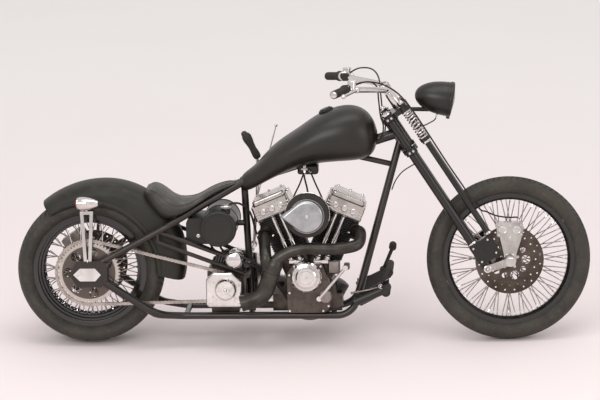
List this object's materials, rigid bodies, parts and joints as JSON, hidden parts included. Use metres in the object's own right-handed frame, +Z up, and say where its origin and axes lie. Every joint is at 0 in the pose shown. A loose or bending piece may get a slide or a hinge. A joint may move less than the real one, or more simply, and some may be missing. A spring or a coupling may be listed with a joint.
{
  "type": "chopper motorcycle",
  "caption": "Rigid-frame chopper with springer fork, teardrop tank, solo seat, finned V engine, chain drive, leaning on its side stand.",
  "frame": {"origin": "on the floor, midway between the wheels, under the parked motorcycle", "axes": "+X towards the front wheel, +Y to the rider's left, +Z up; the motorcycle leans left on its stand"},
  "size_m": [2.4559, 0.9058, 1.1937],
  "materials": {
    "black_paint": "gloss",
    "frame_paint": "gloss",
    "chrome": "polished",
    "bare_alloy": "satin",
    "black_alloy": "satin",
    "bare_steel": "brushed",
    "seat_leather": "satin",
    "tyre_rubber": "matte",
    "grip_rubber": "matte",
    "lens_glass": "clear",
    "exhaust_steel": "satin",
    "foam_black": "matte"
  },
  "bodies": {
    "frame": {"air_cleaner_cover": "chrome", "air_filter": "foam_black", "cam_cover": "chrome", "carburettor": "bare_alloy", "crankcase": "bare_alloy", "cylinder_front": "black_alloy", "cylinder_rear": "black_alloy", "drive_chain": "bare_steel", "exhaust": "exhaust_steel", "fender_struts": "chrome", "forward_control_left": "chrome", "forward_control_right": "chrome", "frame_backbone": "frame_paint", "frame_downtubes": "frame_paint", "frame_lower_rails": "frame_paint", "frame_seat_post": "frame_paint", "frame_seat_rail_left": "frame_paint", "frame_seat_rail_right": "frame_paint", "fuel_tank": "black_paint", "marker_lamps": "chrome", "oil_tank": "black_paint", "primary_cover": "chrome", "pushrod_tubes": "chrome", "rear_axle": "chrome", "rear_caliper": "bare_alloy", "rear_fender": "black_paint", "rocker_boxes": "bare_alloy", "seat": "seat_leather", "shift_lever": "chrome", "stand_bracket": "frame_paint", "tank_cap": "chrome", "transmission": "bare_alloy", "transmission_cover": "chrome"},
    "steering": {"fork_trees": "chrome", "rear_fork_legs": "black_paint", "front_fork_legs": "chrome", "fork_springs": "chrome", "fork_rockers": "bare_alloy", "front_axle": "chrome", "front_caliper": "bare_alloy", "handlebar": "chrome", "grips": "grip_rubber", "hand_controls": "chrome", "headlight_shell": "black_paint", "headlight_lens": "lens_glass"},
    "front_wheel": {"front_tyre": "tyre_rubber", "front_rim": "black_alloy", "front_hub": "bare_steel", "brake_disc": "bare_steel"},
    "rear_wheel": {"rear_tyre": "tyre_rubber", "rear_rim": "black_alloy", "rear_hub": "bare_steel", "rear_sprocket": "chrome", "rear_disc": "bare_steel"},
    "side_stand": {"side_stand": "chrome"}
  },
  "joints": [
    {"name": "steering", "type": "hinge", "parent": "frame", "child": "steering", "pos_m": [0.42083, 0.11139, 0.90941], "axis": [-0.543, 0.1022, 0.8335], "range_deg": [-30, 20]},
    {"name": "front_wheel_spin", "type": "hinge", "parent": "steering", "child": "front_wheel", "pos_m": [0.89539, 0.05059, 0.34751], "axis": [-0.0734, 0.983, -0.1684], "continuous": true},
    {"name": "rear_wheel_spin", "type": "hinge", "parent": "frame", "child": "rear_wheel", "pos_m": [-0.89438, 0.03851, 0.31847], "axis": [-0.0002, 0.9925, -0.1219], "continuous": true},
    {"name": "side_stand_fold", "type": "hinge", "parent": "frame", "child": "side_stand", "pos_m": [0.06015, 0.16876, 0.08095], "axis": [0.0018, 0.4414, 0.8973], "range_deg": [0, 100]}
  ]
}
